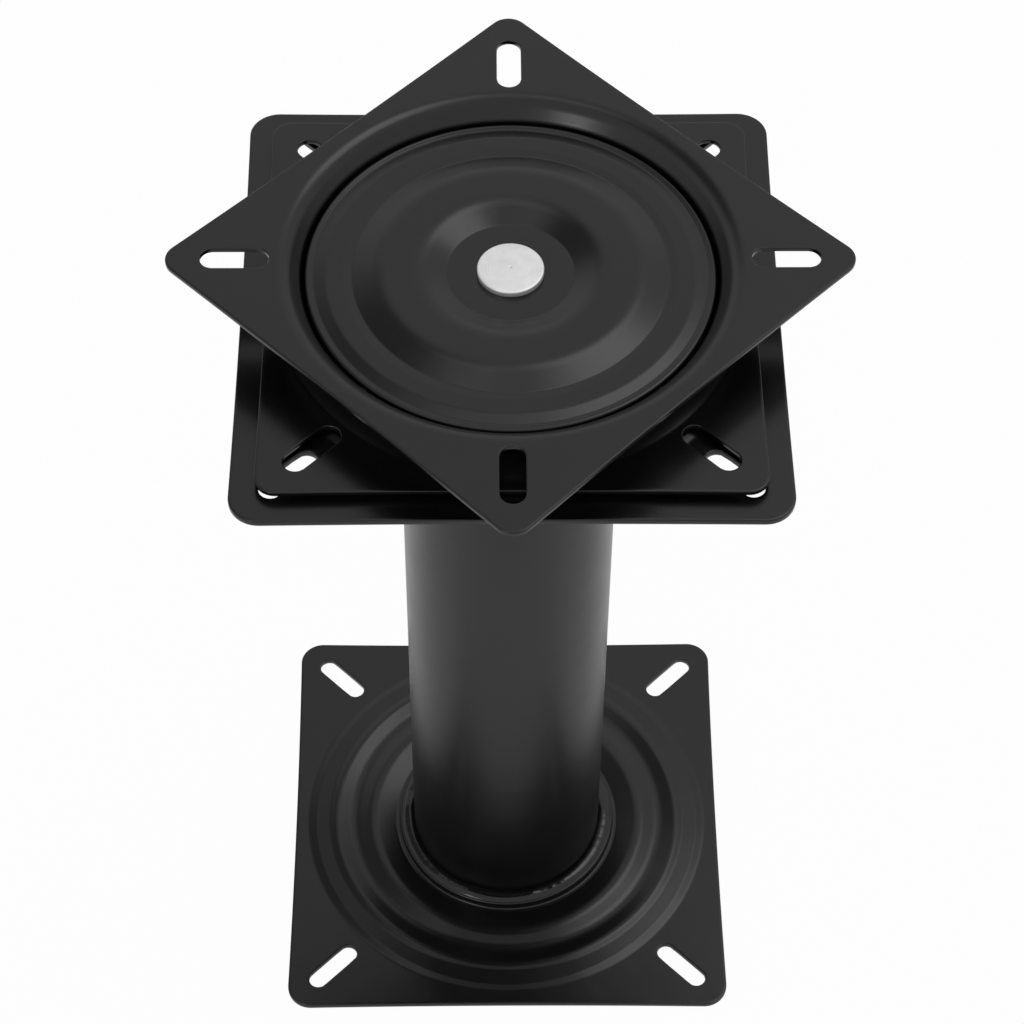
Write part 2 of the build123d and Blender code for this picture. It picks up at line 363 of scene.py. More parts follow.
def plate_grid(rows, plate, edge_round):
    """Grid of a square pressing: section rows by columns round it.

    Inside the flat rim a point is its section point on the column's ray. On the rim it lies
    between the last ring and the outline, and on the edge it follows the outline's normals.
    """
    angles = plate_columns()
    ray = np.stack([np.cos(angles), np.sin(angles)], axis=1)
    outline, outward = square_outline(angles, plate)
    top, bottom = rows[0, 1], rows[-1, 1]
    weights = flat_steps[:, None, None]
    flat = ray * rows[0, 0] * (1 - weights) + (outline - outward * margin) * weights
    inner = with_height(rows[:, :1, None] * ray, rows[:, 1])
    insets, heights = edge_profile(top, bottom, edge_round)
    edge = with_height(outline - outward * insets[:, None, None], heights)
    flat_top, flat_bottom = with_height(flat, top), with_height(flat, bottom)
    return np.concatenate([flat_top[::-1], inner, flat_bottom, edge[::-1]])


def patch_border(patch, levels):
    """Rim level and column of each point on the border of a patch of the rim."""
    sides = levels[1:-1]
    border_levels = [np.full(len(patch), levels[0]), sides]
    border_levels += [np.full(len(patch), levels[-1]), sides[::-1]]
    border_columns = [patch, np.full(len(sides), patch[-1])]
    border_columns += [patch[::-1], np.full(len(sides), patch[0])]
    return np.concatenate(border_levels), np.concatenate(border_columns)


def slot_strip(border, across, plate, top, bottom, edge_round):
    """Loops of a slot: from the border of its patch to its wall, down the wall and back.

    The slot's core is a run on the plate's diagonal. The wall stands half the slot's width
    from the point of the core that is nearest to the border's point.
    """
    out = np.array([cos(across), sin(across)])
    reach = (plate.size / 2 - plate.slot_inset) * sqrt(2)
    half_width = plate.slot_width / 2
    core_half = plate.slot_length / 2 - half_width
    along = np.clip(border @ out, reach - core_half, reach + core_half)
    core = along[:, None] * out
    away = unit(border - core)
    wall = core + away * half_width
    lead = border + (wall + away * edge_round - border) * slot_steps[:, None, None]
    insets, heights = edge_profile(top, bottom, edge_round)
    sheared = with_height(wall + away * insets[:, None, None], heights)
    return np.concatenate([with_height(lead, top), sheared, with_height(lead[::-1], bottom)])


def square_plate(rows, plate, edge_round):
    """Mesh of a square pressing: its grid, less a patch of the rim in each corner for a slot."""
    grid = plate_grid(rows, plate, edge_round)
    row_count, column_count = grid.shape[:2]
    row, column = np.divmod(np.arange(row_count * column_count), column_count)
    flats = len(flat_steps)
    levels = np.arange(flats - 1)
    top_rows = np.arange(flats)[::-1]
    bottom_rows = flats + len(rows) + np.arange(flats)
    on_rim = (row >= top_rows[levels[-1]]) & (row < top_rows[0])
    on_rim |= (row >= bottom_rows[0]) & (row < bottom_rows[levels[-1]])
    points = [grid.reshape(-1, 3)]
    kept_cells = np.ones(len(row), bool)
    start, slots = len(points[0]), []
    for corner in range(4):
        patch = corner * (corner_columns + side_columns) + np.arange(2, corner_columns - 1)
        kept_cells &= ~(on_rim & np.isin(column, patch[:-1]))
        border_levels, border_columns = patch_border(patch, levels)
        upper = top_rows[border_levels] * column_count + border_columns
        lower = bottom_rows[border_levels] * column_count + border_columns
        across = radians(45) + corner * pi / 2
        border = points[0][upper][:, :2]
        strip = slot_strip(border, across, plate, rows[0, 1], rows[-1, 1], edge_round)
        ids = start + np.arange(len(strip) * len(upper)).reshape(len(strip), len(upper))
        start += ids.size
        points.append(strip.reshape(-1, 3))
        ids = np.concatenate([upper[None], ids, lower[None]])
        after = np.roll(ids, -1, axis=1)
        slots.append(np.stack([ids[:-1], after[:-1], after[1:], ids[1:]], axis=2).reshape(-1, 4))
    faces = closed_grid(row_count, column_count)[kept_cells]
    return np.concatenate(points), np.concatenate([faces] + slots)


def with_height(plane_points, heights):
    """Loops of plane points lifted to one height, or each to its own."""
    lifted = np.broadcast_to(np.reshape(heights, (-1, 1, 1)), plane_points.shape[:2] + (1,))
    return np.concatenate([plane_points, lifted], axis=2)


def closed_grid(row_count, column_count):
    """Faces of a grid that closes on itself both ways."""
    row, column = np.divmod(np.arange(row_count * column_count), column_count)
    next_row = (row + 1) % row_count
    next_column = (column + 1) % column_count
    corners = [
        row * column_count + column,
        row * column_count + next_column,
        next_row * column_count + next_column,
        next_row * column_count + column,
    ]
    return np.stack(corners, axis=1)


def spun(rows, column_count):
    """Grid of a closed section turned round the upright axis: (r cos a, r sin a, z)."""
    angles = np.linspace(0, 2 * pi, column_count, endpoint=False)
    x = rows[:, :1] * np.cos(angles)
    y = rows[:, :1] * np.sin(angles)
    z = np.repeat(rows[:, 1:], column_count, axis=1)
    return np.stack([x, y, z], axis=2).reshape(-1, 3), closed_grid(len(rows), column_count)


def new_piece(name, points, faces, material, body, nodes):
    """A smooth mesh object that rides on a body and stands for CAD nodes."""
    mesh = bpy.data.meshes.new(name)
    mesh.vertices.add(len(points))
    mesh.vertices.foreach_set("co", np.ascontiguousarray(points, np.float32).ravel())
    mesh.loops.add(faces.size)
    mesh.loops.foreach_set("vertex_index", faces.astype(np.int32).ravel())
    mesh.polygons.add(len(faces))
    mesh.polygons.foreach_set("loop_start", np.arange(0, faces.size, 4, dtype=np.int32))
    mesh.update(calc_edges=True)
    if mesh.validate():
        raise RuntimeError(f"{name} has faulty faces")
    work = bmesh.new()
    work.from_mesh(mesh)
    open_edges = [edge for edge in work.edges if not edge.is_manifold]
    if open_edges:
        raise RuntimeError(f"{name} has {len(open_edges)} open edges")
    bmesh.ops.recalc_face_normals(work, faces=work.faces)
    work.to_mesh(mesh)
    work.free()
    mesh.polygons.foreach_set("use_smooth", np.ones(len(mesh.polygons), bool))
    mesh.materials.append(material)
    piece = bpy.data.objects.new(name, mesh)
    bpy.context.scene.collection.objects.link(piece)
    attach(piece, body)
    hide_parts(*nodes)
    return piece


class Value:
    """An output socket of a shader tree; arithmetic on it adds Math nodes."""

    def __init__(self, finish, socket):
        self.finish = finish
        self.socket = socket

    def math(self, operation, *others):
        """A Math node on this value and the others."""
        sockets = {index: other for index, other in enumerate((self,) + others)}
        return self.finish.node("ShaderNodeMath", {"operation": operation}, sockets)

    def __add__(self, other):
        return self.math("ADD", other)

    __radd__ = __add__

    def __mul__(self, other):
        return self.math("MULTIPLY", other)

    __rmul__ = __mul__

    def __sub__(self, other):
        return self.math("SUBTRACT", other)

    def __rsub__(self, other):
        return self.finish.node("ShaderNodeMath", {"operation": "SUBTRACT"}, {0: other, 1: self})

    def __pow__(self, other):
        return self.math("POWER", other)


class Finish:
    """A material, or a world, under construction."""

    def __init__(self, name, kinds=None):
        self.material = (bpy.data.materials if kinds is None else kinds).new(name)
        self.material.use_nodes = True
        self.tree = self.material.node_tree
        self.tree.nodes.clear()

    def node(self, kind, settings=None, sockets=None, output=0):
        """Adds a node, sets its settings, then its sockets' values or links."""
        node = self.tree.nodes.new(kind)
        for key, value in (settings or {}).items():
            setattr(node, key, value)
        for key, value in (sockets or {}).items():
            if isinstance(value, Value):
                self.tree.links.new(value.socket, node.inputs[key])
            else:
                node.inputs[key].default_value = value
        return Value(self, node.outputs[output]) if node.outputs else None

    def place(self):
        """Object coordinates."""
        return self.node("ShaderNodeTexCoord", output="Object")

    def noise(self, place, scale, detail=2.0, roughness=0.5):
        """Noise of a scale in features per metre, around one half."""
        sockets = {"Vector": place, "Scale": scale, "Detail": detail, "Roughness": roughness}
        return self.node("ShaderNodeTexNoise", None, sockets, "Fac")

    def bump(self, height, distance, normal=None):
        """A normal bent by a height in metres."""
        sockets = {"Height": height, "Distance": distance, "Strength": 1.0}
        if normal:
            sockets["Normal"] = normal
        return self.node("ShaderNodeBump", None, sockets)

    def mix(self, share_value, first, second):
        """A colour between two colours."""
        settings = {"data_type": "RGBA"}
        sockets = {0: share_value, 6: first, 7: second}
        return self.node("ShaderNodeMix", settings, sockets, 2)

    def surface(self, sockets):
        """Ends the material in a Principled shader."""
        shader = self.node("ShaderNodeBsdfPrincipled", None, sockets)
        self.node("ShaderNodeOutputMaterial", None, {"Surface": shader})
        return self.material


def rgb(value, gain=1.0):
    """A property's colour as four channels, brightened by a gain."""
    return (value[0] * gain, value[1] * gain, value[2] * gain, 1.0)


# Enamels: each one's share of the paint's roughness and of its orange peel
enamels = {"satin_enamel": (1.0, 1.0), "column_enamel": (1.35, 1.0), "weld_enamel": (0.6, 0.6)}


def enamel(name, paint):
    """Black stoving enamel on pressed steel: faint orange peel, uneven gloss and slack sheet.

    Here and below, a noise's scale is in features per metre and a bump's height in metres.
    """
    dullness, peel_share = enamels[name]
    finish = Finish(name)
    place = finish.place()
    peel = finish.noise(place, 620.0, 2.0)
    grain = finish.noise(place, 5200.0, 1.0)
    slack = finish.noise(place, 34.0, 2.0)
    cloud = finish.noise(place, 60.0, 4.0, 0.6)
    skin = finish.bump(slack, 0.00022)
    skin = finish.bump(peel, 0.000011 * paint.peel * peel_share, skin)
    skin = finish.bump(grain, 0.0000012 * paint.peel * peel_share, skin)
    shade = finish.mix(cloud, rgb(paint.black, 0.85), rgb(paint.black, 1.2))
    roughness = paint.gloss_roughness * dullness + (cloud - 0.5) * 0.07 + (grain - 0.5) * 0.05
    return finish.surface({"Base Color": shade, "Roughness": roughness, "Normal": skin, "IOR": 1.5})


def zinc_plating(name, paint):
    """Zinc plating on a turned rivet head: faint rings, small dents and a satin grain.

    The rings are the sine of the distance from the middle times 5200 per metre.
    """
    finish = Finish(name)
    place = finish.place()
    x, y = (finish.node("ShaderNodeSeparateXYZ", None, {0: place}, axis) for axis in "XY")
    rings = ((x * x + y * y) ** 0.5 * 5200.0).math("SINE")
    grain = finish.noise(place, 2400.0, 3.0, 0.6)
    cloud = finish.noise(place, 240.0, 3.0)
    skin = finish.bump(rings, 0.000009, finish.bump(grain, 0.00002))
    shade = finish.mix(cloud, rgb(paint.zinc, 0.86), rgb(paint.zinc, 1.1))
    roughness = 0.38 + (cloud - 0.5) * 0.2
    sockets = {"Base Color": shade, "Metallic": 0.55, "Roughness": roughness, "Normal": skin}
    return finish.surface(sockets)


def bearing_steel(name, paint):
    """Bearing steel of a dark tone."""
    finish = Finish(name)
    cloud = finish.noise(finish.place(), 400.0, 3.0)
    shade = finish.mix(cloud, rgb(paint.steel, 0.9), rgb(paint.steel, 1.05))
    roughness = 0.1 + cloud * 0.12
    return finish.surface({"Base Color": shade, "Metallic": 1.0, "Roughness": roughness})


def cage_nylon(name, paint):
    """Black nylon, moulded, a little uneven in tone."""
    finish = Finish(name)
    place = finish.place()
    cloud = finish.noise(place, 120.0, 3.0)
    skin = finish.bump(finish.noise(place, 1800.0, 2.0), 0.000012)
    shade = finish.mix(cloud, rgb(paint.nylon, 0.92), rgb(paint.nylon, 1.04))
    roughness = 0.42 + (cloud - 0.5) * 0.15
    return finish.surface({"Base Color": shade, "Roughness": roughness, "Normal": skin})


def kept(name, build, paint):
    """The named material, built on first use."""
    return bpy.data.materials.get(name) or build(name, paint)


def pedestal_rows(pedestal, face, collar, bend):
    """Section of a pedestal plate: its rings over the height of its flat rim, and its collar."""
    offsets, rises, bends = np.array(pedestal_rings).T * MM
    wall = tube_radius + pedestal.weld_width + pedestal.sheet
    line = np.stack([wall + offsets, face + rises], axis=1)
    line = np.vstack([line[0] + (rim_lead * MM, 0.0), line, collar])
    bends = np.append(bends, bend * MM)
    return trimmed(sheet_rows(line, bends, pedestal.sheet, pedestal.collar_round))


def trimmed(rows):
    """A section without its first and last point, so that it begins where its first bend does."""
    return rows[1:-1]


class SEATBASE_OT_pedestal_plates(bpy.types.Operator):
    """Adds the pressed plates at the foot and head of the column"""

    bl_idname = "seat_base.pedestal_plates"
    bl_label = "Pedestal Plates"

    def execute(self, context):
        settings = context.scene.seat_base
        pedestal = settings.pedestal
        paint = kept("satin_enamel", enamel, settings.paint)
        groove = tube_radius + pedestal.weld_width
        foot, rise = collar_foot_rise * MM, collar_rise * MM
        face, wall = pedestal.sheet, groove + pedestal.sheet
        collar = [(wall, face + foot), (wall, face + rise)]
        rows = pedestal_rows(pedestal, face, collar, collar_bend)
        points, faces = square_plate(rows, pedestal.base, pedestal.edge_round)
        new_piece(
            "base_plate_pressed", points, faces, paint, "pedestal", ["base_plate"]
        )
        face = pedestal_height
        collar = [(groove, face + foot), (groove, face - pedestal.sheet - rise)]
        rows = pedestal_rows(pedestal, face, collar, hanging_collar_bend)
        points, faces = square_plate(rows, pedestal.head, pedestal.edge_round)
        new_piece(
            "top_plate_pressed", points, faces, paint, "pedestal", ["top_plate"]
        )
        return {"FINISHED"}


# Grid of the column
column_rings = 40
column_sides = 192


class SEATBASE_OT_column(bpy.types.Operator):
    """Adds the drawn column tube"""

    bl_idname = "seat_base.column"
    bl_label = "Column"

    def execute(self, context):
        settings = context.scene.seat_base
        pedestal = settings.pedestal
        paint = kept("column_enamel", enamel, settings.paint)
        bore = tube_radius - pedestal.tube_wall
        heights = np.linspace(tube_low.z, tube_high.z, column_rings)
        outer = np.stack([np.full_like(heights, tube_radius), heights], axis=1)
        inner = np.stack([np.full_like(heights, bore), heights[::-1]], axis=1)
        points, faces = spun(np.concatenate([outer, inner]), column_sides)
        piece = new_piece(
            "column_drawn", points, faces, paint, "pedestal", ["column_tube"]
        )
        piece.data.set_sharp_from_angle(angle=radians(40))
        return {"FINISHED"}


# Seam welds: the grid, the seeds of their random draws, whole waves round a seam, angle and
# breadth in degrees of the lumps in front, and how much each of them swells the bead. The
# ripples' height, the bead's sway and its bite into the column are in millimetres
weld_columns = 900
weld_rows = 17
base_weld_seed = 3
top_weld_seed = 8
slow_waves = (2, 3, 5, 9, 14)
quick_waves = (23, 37, 51, 78)
front_lumps = [(-112, 6.0), (-75, 2.2)]
slow_swell, quick_swell, lump_swell = 0.22, 0.07, 0.35
ripple_height = 0.006
weld_sway = 0.15
weld_bite = 0.1


class SEATBASE_OT_welds(bpy.types.Operator):
    """Adds the seam welds between the column and the collars"""

    bl_idname = "seat_base.welds"
    bl_label = "Seam Welds"

    def execute(self, context):
        settings = context.scene.seat_base
        pedestal = settings.pedestal
        paint = kept("weld_enamel", enamel, settings.paint)
        points, faces = weld_bead(pedestal, base_weld_seed)
        new_piece("base_weld_bead", points, faces, paint, "pedestal", ["base_weld"])
        points, faces = weld_bead(pedestal, top_weld_seed)
        points[:, 2] = pedestal_height - points[:, 2]
        new_piece("top_weld_bead", points, faces, paint, "pedestal", ["top_weld"])
        return {"FINISHED"}


def waves(dice, angles, counts):
    """Waves round the column, at random heights and turns, by cos(count * angle + turn)."""
    cosines = (dice.uniform(0.3, 1) * np.cos(k * angles + dice.uniform(0, 2 * pi)) for k in counts)
    return sum(cosines) / 3


def weld_bead(pedestal, seed):
    """Grid of a seam weld in its groove: angle round the column by place across the bead.

    Across, p runs from -1 at the column to 1 on the collar's lip. The bead falls from the
    column to the lip in a slope, with a crown of 1 - |p|^2.2 on top of that. Along, waves of a
    few whole periods change its height and width, lumps are bell curves where the welder
    stopped, and ripples are a cosine whose phase lags with p^2, as crescents.
    """
    p = np.linspace(-1, 1, weld_rows)[:, None]
    angles = np.linspace(0, 2 * pi, weld_columns, endpoint=False)
    dice = np.random.default_rng(seed)
    slow = waves(dice, angles, slow_waves)
    quick = waves(dice, angles, quick_waves)
    back_lumps = zip(dice.uniform(0, 180, 4), dice.uniform(2, 6, 4))
    lumps = np.zeros_like(angles)
    for lump, breadth in [*front_lumps, *back_lumps]:
        away = (angles - radians(lump) + pi) % (2 * pi) - pi
        lumps += np.exp(-((away / radians(breadth)) ** 2))
    inside = 1 - p**2
    ripple = np.cos(pedestal.weld_ripples * angles - 2.2 * p**2 + 3.0 * slow) * inside
    slope = pedestal.sheet + pedestal.weld_rise - pedestal.weld_climb * (p + 1) / 2
    swell = 1 + slow_swell * slow + quick_swell * quick + lump_swell * lumps
    crown = pedestal.weld_crown * (1 - np.abs(p) ** 2.2) * swell
    height = slope + crown + ripple_height * MM * ripple
    half = (pedestal.weld_width + pedestal.weld_lap) / 2
    sway = weld_sway * MM * (slow + 0.4 * quick) * inside
    radius = tube_radius + half + p * (half + weld_bite * MM) + sway
    top = np.stack([radius * np.cos(angles), radius * np.sin(angles), height], axis=2)
    under = top[::-1].copy()
    under[:, :, 2] = pedestal.sheet + weld_bite * MM
    grid = np.concatenate([top, under])
    return grid.reshape(-1, 3), closed_grid(len(grid), weld_columns)


class SEATBASE_OT_swivel_plates(bpy.types.Operator):
    """Adds the two square plates of the swivel"""

    bl_idname = "seat_base.swivel_plates"
    bl_label = "Swivel Plates"

    def execute(self, context):
        settings = context.scene.seat_base
        swivel = settings.swivel
        paint = kept("satin_enamel", enamel, settings.paint)
        points, faces = square_plate(lower_rows(swivel), swivel.plate, swivel.edge_round)
        nodes = ["swivel_lower_plate"]
        new_piece("swivel_lower_pressed", points, faces, paint, "pedestal", nodes)
        points, faces = square_plate(upper_rows(swivel), swivel.plate, swivel.edge_round)
        c, s = cos(swivel.rest_turn), sin(swivel.rest_turn)
        points = points @ np.array([[c, s, 0], [-s, c, 0], [0, 0, 1]])
        nodes = ["swivel_upper_plate"]
        new_piece("swivel_upper_pressed", points, faces, paint, "seat_plate", nodes)
        return {"FINISHED"}


# Swivel's plates, in millimetres and degrees. The two rows' insets are counted from the
# plate's side to the middle of the balls
flange_lead = 2.0
race_wall_slope = 60.0
race_wall_height = 3.5
race_crest_bend = 2.15
race_apron_inset = 5.0
race_apron_width = 9.5
race_apron_bend = 5.0
lower_row_inset = 25.0
upper_row_inset = 17.5
cone_foot = 42.0
cone_foot_bend = 5.0
cone_top = 18.0
cone_top_bend = 3.0
bore_round = 0.2
well_lean = 9.0
well_flare_depth = 6.8
well_flare_slope = 52.0
well_waist_bend = 5.0
hook_length = 3.2
hook_round = 0.4


def lower_rows(swivel):
    """Section of the swivel's lower plate: flange, apron up to the race's crest, race and cone."""
    groove = ball_radius + swivel.ball_clearance
    race = swivel.plate.size / 2 - lower_row_inset * MM
    slope = radians(race_wall_slope)
    flange = pedestal_height + inner_crest_rise * MM + swivel.sheet
    crest = flange + race_wall_height * MM
    foot_in = race + groove * tan(slope / 2)
    crest_in = foot_in + race_wall_height * MM / tan(slope)
    apron = swivel.plate.size / 2 - race_apron_inset * MM
    cone = disc_boss_height(swivel) - swivel.sheet
    line = [
        (apron + flange_lead * MM, flange),
        (apron, flange),
        (apron - race_apron_width * MM, crest),
        (crest_in, crest),
        (foot_in, flange),
        (cone_foot * MM, flange),
        (cone_top * MM, cone),
        (rivet_shank * MM, cone),
    ]
    apron_bends = [race_apron_bend * MM, race_apron_bend * MM, race_crest_bend * MM]
    bends = [*apron_bends, groove, cone_foot_bend * MM, cone_top_bend * MM]
    return trimmed(sheet_rows(line, bends, swivel.sheet, bore_round * MM))


def upper_rows(swivel):
    """Section of the swivel's upper plate: flange, flared well, lip between the balls and hook."""
    groove = ball_radius + swivel.ball_clearance
    slope = radians(race_wall_slope)
    lip = upper_ball_height - groove
    row = swivel.plate.size / 2 - upper_row_inset * MM
    foot = row + groove * tan(radians(90 - well_lean) / 2)
    waist = swivel_top - well_flare_depth * MM
    neck = foot + (waist - lip) * tan(radians(well_lean))
    head = neck + well_flare_depth * MM / tan(radians(well_flare_slope))
    race = swivel.plate.size / 2 - lower_row_inset * MM
    hook = race - (groove + swivel.sheet) * tan(slope / 2)
    line = [
        (head + swivel.well_bend, swivel_top),
        (head, swivel_top),
        (neck, waist),
        (foot, lip),
        (hook, lip),
        (hook - hook_length * MM * cos(slope), lip - hook_length * MM * sin(slope)),
    ]
    bends = [swivel.well_bend, well_waist_bend * MM, groove, groove + swivel.sheet]
    return trimmed(sheet_rows(line, bends, swivel.sheet, hook_round * MM))


# Retaining disc, in millimetres, from its rim inwards. The overhang is counted from the
# middle of the upper balls, and the bends stand in the same order as the disc's forms
disc_overhang = 2.15
disc_bead = 1.25
disc_rim_width = 3.35
disc_flare_run = 4.3
disc_flare_rise = 0.9
disc_ring_width = 6.0
disc_channel_run = 3.3
disc_channel_depth = 0.35
disc_plateau_run = 9.8
disc_plateau_rise = 3.2
disc_plateau_inner = 32.5
disc_boss = 22.9
disc_boss_depth = 3.8
disc_bends = (2.0, 5.5, 5.5, 2.0, 16.0, 16.0, 2.0)
disc_columns = 360
disc_roll_steps = 24

# Rivet, in millimetres
rivet_head = 2.6
rivet_crown = 0.25
rivet_edge = 0.5
rivet_undercut = 0.1
rivet_shank = 5.0
rivet_tail = 8.5
rivet_tail_depth = 3.0
rivet_tail_chamfer = 1.2
rivet_columns = 180
rivet_rings = 14
pin_hole_share = 0.002


class SEATBASE_OT_disc(bpy.types.Operator):
    """Adds the pressed retaining disc"""

    bl_idname = "seat_base.disc"
    bl_label = "Retaining Disc"

    def execute(self, context):
        settings = context.scene.seat_base
        paint = kept("satin_enamel", enamel, settings.paint)
        points, faces = spun(disc_rows(settings.swivel), disc_columns)
        nodes = ["retaining_disc"]
        new_piece("retaining_disc_pressed", points, faces, paint, "pedestal", nodes)
        return {"FINISHED"}


def disc_rim_height(swivel):
    """Height of the disc's face over the upper balls."""
    return upper_ball_height + ball_radius + swivel.ball_clearance + swivel.sheet


def disc_boss_height(swivel):
    """Height of the disc's sunk middle, where the rivet's head lies."""
    steps = disc_flare_rise - disc_channel_depth + disc_plateau_rise - disc_boss_depth
    return disc_rim_height(swivel) + steps * MM


def disc_rows(swivel):
    """Section of the disc: rolled rim, flare, ring, channel, plateau, sunk middle and underside.

    The rolled rim is a circle round the sheet's edge, from under the sheet out and over to
    where it meets the face at 180 degrees less asin((sheet - bead) / bead).
    """
    top = disc_rim_height(swivel)
    bead = disc_bead * MM
    rim = swivel.plate.size / 2 + (disc_overhang - upper_row_inset) * MM
    flare = rim - disc_rim_width * MM
    ring_outer = flare - disc_flare_run * MM
    ring_inner = ring_outer - disc_ring_width * MM
    channel = ring_inner - disc_channel_run * MM
    ring = top + disc_flare_rise * MM
    plateau = ring + (disc_plateau_rise - disc_channel_depth) * MM
    boss = disc_boss_height(swivel)
    meet = np.arcsin((swivel.sheet - bead) / bead)
    line = [
        (rim - bead * (1 + np.cos(meet)), top),
        (flare, top),
        (ring_outer, ring),
        (ring_inner, ring),
        (channel, ring - disc_channel_depth * MM),
        (channel - disc_plateau_run * MM, plateau),
        (disc_plateau_inner * MM, plateau),
        (disc_boss * MM, boss),
        (rivet_shank * MM, boss),
    ]
    rows = sheet_rows(line, np.array(disc_bends) * MM, swivel.sheet, bore_round * MM)
    roll = np.linspace(-pi / 2, pi - meet, disc_roll_steps)[:-1, None]
    around = np.concatenate([np.cos(roll), np.sin(roll)], axis=1)
    centre = np.array([rim - bead, top - swivel.sheet + bead])
    return np.concatenate([rows, centre + bead * around])


class SEATBASE_OT_rivet(bpy.types.Operator):
    """Adds the centre rivet"""

    bl_idname = "seat_base.rivet"
    bl_label = "Centre Rivet"

    def execute(self, context):
        settings = context.scene.seat_base
        zinc = kept("zinc_plating", zinc_plating, settings.paint)
        points, faces = spun(rivet_rows(settings.swivel), rivet_columns)
        nodes = ["centre_rivet"]
        new_piece("centre_rivet_headed", points, faces, zinc, "pedestal", nodes)
        return {"FINISHED"}


def rivet_rows(swivel):
    """Section of the rivet: crowned head, shank and upset tail, closed along a pin-hole axis.

    The head falls by the crown times the square of its share of the radius.
    """
    head = rivet_radius
    boss = disc_boss_height(swivel)
    seat = boss - 2 * swivel.sheet
    bend = quarter()
    edge = rivet_edge * MM
    reach = np.linspace(pin_hole_share, 1, rivet_rings) * (head - edge)
    top = boss + rivet_head * MM - rivet_crown * MM * (reach / head) ** 2
    face = np.stack([reach, top], axis=1)
    side = head - edge * (1 - np.sin(bend))
    rounding = np.stack([side, top[-1] - edge * (1 - np.cos(bend))], axis=1)
    shank, tail = rivet_shank * MM, rivet_tail * MM
    end = seat - rivet_tail_depth * MM
    rest = [
        (head, boss + rivet_undercut * MM),
        (head - rivet_undercut * MM, boss),
        (shank, boss),
        (shank, seat),
        (tail, seat),
        (tail, end + rivet_tail_chamfer * MM),
        (tail - rivet_tail_chamfer * MM, end),
        (reach[0], end),
    ]
    return np.concatenate([face, rounding[1:], np.array(rest)])


class SEATBASE_OT_bearing(bpy.types.Operator):
    """Finishes the balls and their cages"""

    bl_idname = "seat_base.bearing"
    bl_label = "Ball Rows"

    def execute(self, context):
        paint = context.scene.seat_base.paint
        steel = kept("bearing_steel", bearing_steel, paint)
        nylon = kept("cage_nylon", cage_nylon, paint)
        for name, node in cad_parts.items():
            if "_ball_" in name:
                node.data.materials.clear()
                node.data.materials.append(nylon if name.endswith("cage") else steel)
        return {"FINISHED"}


# Soft boxes: place, width and height in metres, and power in watts. Both face the swivel
lamps = {
    "key_softbox": ((0.80, 0.57, 2.36), 1.0, 1.0, 4.0),
    "front_softbox": ((-0.81, -1.35, 0.95), 0.3, 0.6, 1.2),
}
lamp_target = (0, 0, 0.36)

# Camera's film, in millimetres
film_width = 36.0

# Floor: half its side, its gap under the base, and where the painted shade of the near floor in the
# gloss starts and ends, paling to white behind the base, in metres
floor_reach = 6.0
floor_gap = 0.0002
floor_shade_span = (-0.05, 0.16)


class SEATBASE_OT_stage(bpy.types.Operator):
    """Adds the floor, the surroundings, the lamps and the camera"""

    bl_idname = "seat_base.stage"
    bl_label = "Stage"

    def execute(self, context):
        studio = context.scene.seat_base.studio
        context.scene.view_settings.view_transform = "Standard"
        add_camera(context, studio)
        add_world(context, studio)
        add_floor(context, studio)
        for name, (place, width, height, power) in lamps.items():
            add_lamp(context, name, place, width, height, power)
        return {"FINISHED"}


def add_camera(context, studio):
    """The camera looks from an azimuth and elevation at a point of the column, rolled a little."""
    a, e = studio.azimuth, studio.elevation
    back = Vector((sin(a) * cos(e), -cos(a) * cos(e), sin(e)))
    level = Vector((cos(a), sin(a), 0))
    rise = back.cross(level)
    right = level * cos(studio.roll) + rise * sin(studio.roll)
    up = rise * cos(studio.roll) - level * sin(studio.roll)
    camera = bpy.data.objects.new("camera", bpy.data.cameras.new("camera"))
    camera.data.lens = studio.lens
    camera.data.sensor_width = film_width
    target = Vector((studio.target_side, 0, studio.target_height))
    camera.location = target + back * studio.distance
    camera.rotation_mode = "QUATERNION"
    camera.rotation_quaternion = Matrix((right, up, back)).transposed().to_quaternion()
    context.scene.collection.objects.link(camera)
    context.scene.camera = camera


# Places in the sky that the gloss shows: direction, inner and outer half angle in degrees,
# and what the place adds to the sky's strength. Three are bright, and the last is dark
sky_places = [
    ((0.37, 0.25, 0.88), 2.0, 21.0, 0.7),
    ((-0.16, 0.18, 0.97), 1.0, 12.0, 1.0),
    ((-0.46, -0.76, 0.42), 3.0, 14.0, 2.5),
    ((-0.46, 0.33, 0.80), 8.0, 27.0, -0.7),
]
white = (1.0, 1.0, 1.0, 1.0)


